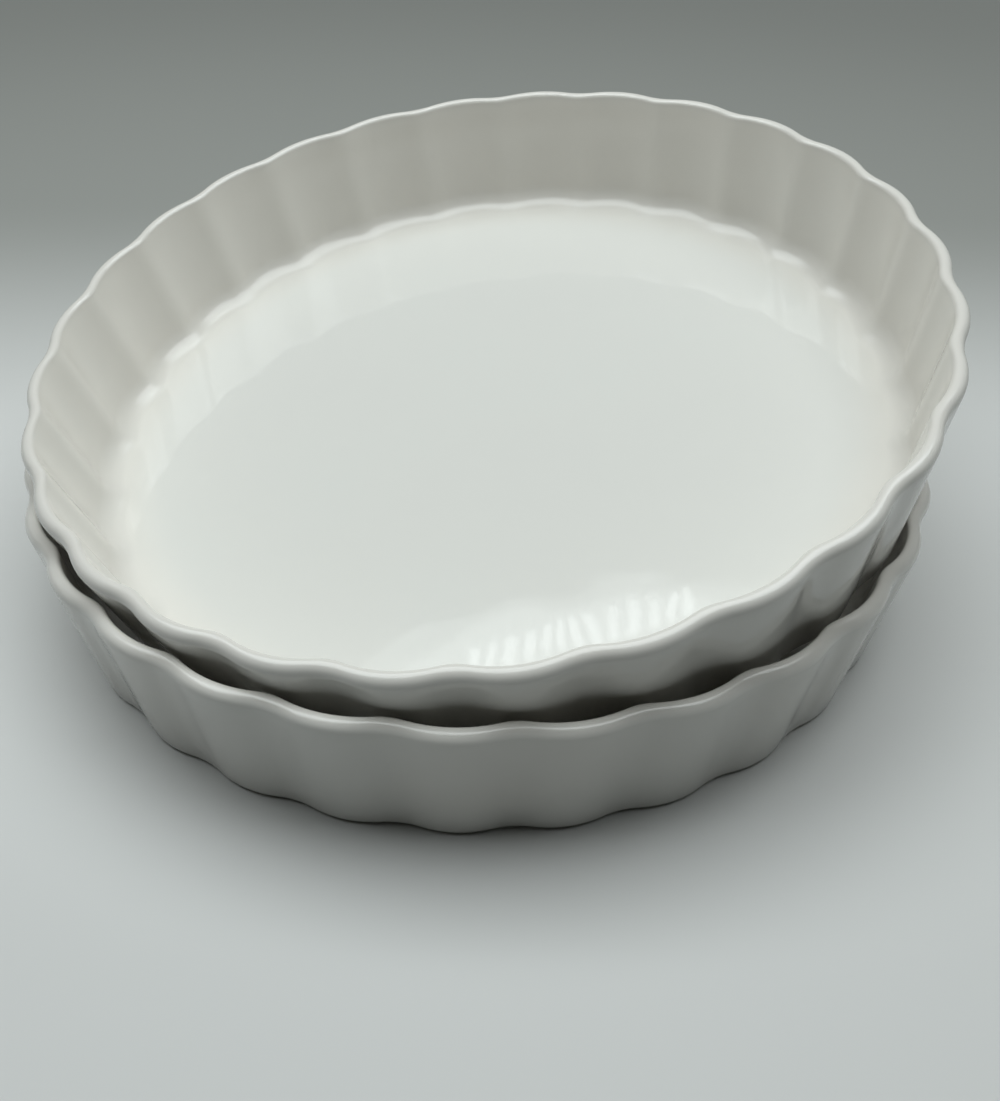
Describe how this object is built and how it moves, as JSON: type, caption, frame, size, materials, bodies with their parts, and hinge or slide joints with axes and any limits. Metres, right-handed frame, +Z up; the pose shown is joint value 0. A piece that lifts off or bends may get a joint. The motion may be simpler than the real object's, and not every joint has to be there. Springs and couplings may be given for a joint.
{
  "type": "fluted quiche dish pair",
  "caption": "Shallow round fluted baking dishes of white glazed porcelain, one lying crooked in the other and free to lift off.",
  "frame": {"origin": "middle of the lower dish's foot, on the surface that it stands on", "axes": "+Z up, out of the dishes; the upper dish leans down towards -X and -Y"},
  "size_m": [0.255, 0.255, 0.099],
  "materials": {
    "porcelain_glaze": "glossy white glaze, bare matt foot ring"
  },
  "bodies": {
    "lower_dish": {"lower_dish": "porcelain_glaze"},
    "upper_dish": {"upper_dish": "porcelain_glaze"}
  },
  "joints": [
    {"name": "upper_dish_lift", "type": "slide", "parent": "lower_dish", "child": "upper_dish", "axis": [0, 0, 1], "range_m": [0, 0.08]}
  ]
}
